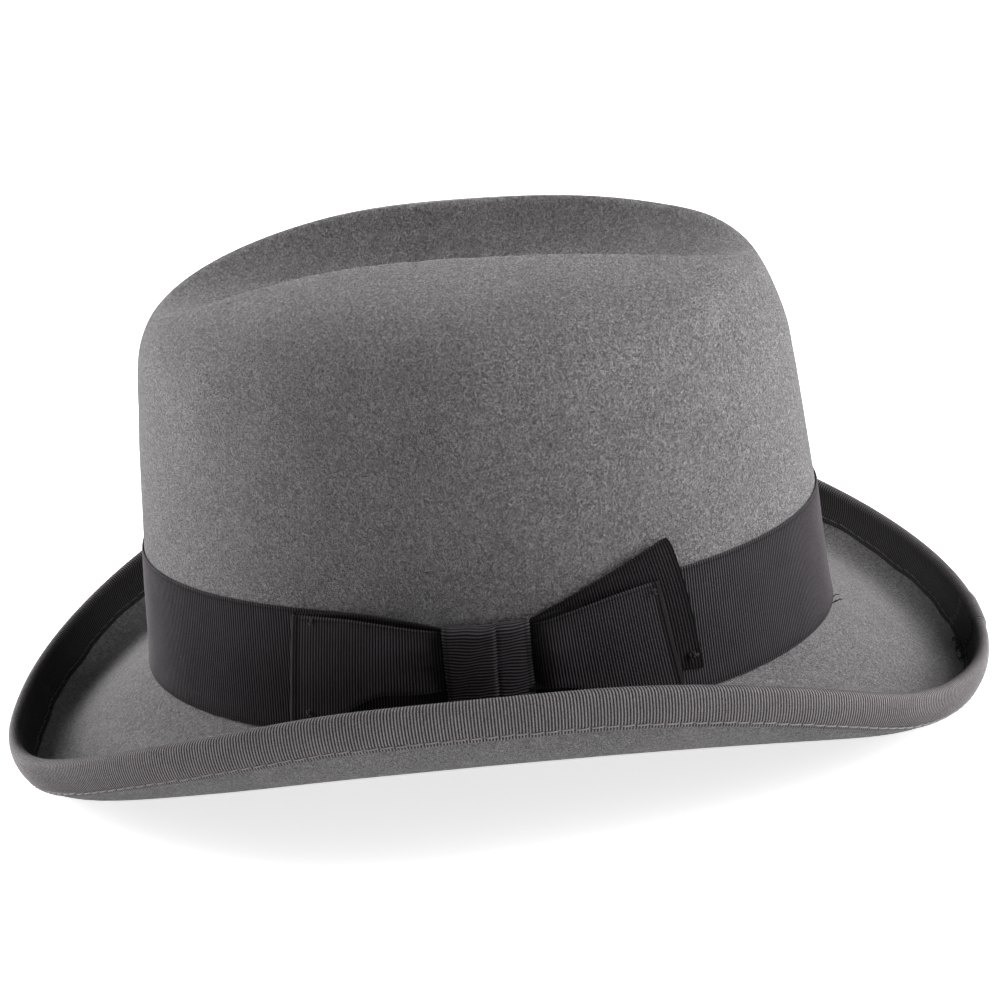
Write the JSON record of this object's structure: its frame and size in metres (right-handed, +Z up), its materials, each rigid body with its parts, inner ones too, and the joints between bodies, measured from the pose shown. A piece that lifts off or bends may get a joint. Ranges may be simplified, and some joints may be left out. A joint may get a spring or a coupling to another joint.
{
  "type": "homburg hat",
  "caption": "Grey felt homburg hat with a deep centre crease, a curled ribbon-bound brim, a dark ribbon band with a flat side bow, a leather sweatband and a satin lining.",
  "frame": {"origin": "centre of the head opening on the plane the brim rests on, the lowest points of the brim's underside", "axes": "+Z up through the crown; the front of the hat faces -Y; +X is the wearer's left, the side with the bow"},
  "size_m": [0.2644, 0.315, 0.1568],
  "materials": {
    "felt": "dense wool felt with a short, softly mottled nap",
    "band_ribbon": "ribbed grosgrain ribbon, soft sheen",
    "binding_ribbon": "ribbed grosgrain ribbon, soft sheen",
    "binding_thread": "twisted polyester sewing thread",
    "hand_thread": "twisted sewing thread",
    "sweatband_leather": "smooth glazed leather",
    "reed_plastic": "satin",
    "cotton_tape": "plain woven cotton",
    "sweatband_thread": "twisted sewing thread",
    "label_paper": "plain matt label with no text",
    "satin_ribbon": "narrow satin ribbon",
    "satin_lining": "smooth satin with a silky sheen",
    "satin_piping": "satin over a thin cord",
    "clear_vinyl": "clear gloss film",
    "clear_thread": "fine sewing thread"
  },
  "bodies": {
    "root": {"felt_body": "felt", "brim_binding": "binding_ribbon", "binding_outer_thread": "binding_thread", "binding_inner_thread": "binding_thread", "splice_stitches": "hand_thread", "ribbon_band": "band_ribbon", "bow_front_loop": "band_ribbon", "bow_rear_loop": "band_ribbon", "bow_tail": "band_ribbon", "bow_knot": "band_ribbon", "bow_tacks": "hand_thread", "band_loose_threads": "hand_thread", "sweatband": "sweatband_leather", "sweatband_reed": "reed_plastic", "reed_tape": "cotton_tape", "sweatband_stitches": "sweatband_thread", "sweatband_seam_tape": "cotton_tape", "size_tab": "label_paper", "sweatband_bow": "satin_ribbon", "lining_side": "satin_lining", "lining_piping": "satin_piping", "lining_tip": "satin_lining", "tip_protector": "clear_vinyl", "protector_thread": "clear_thread"}
  },
  "joints": []
}
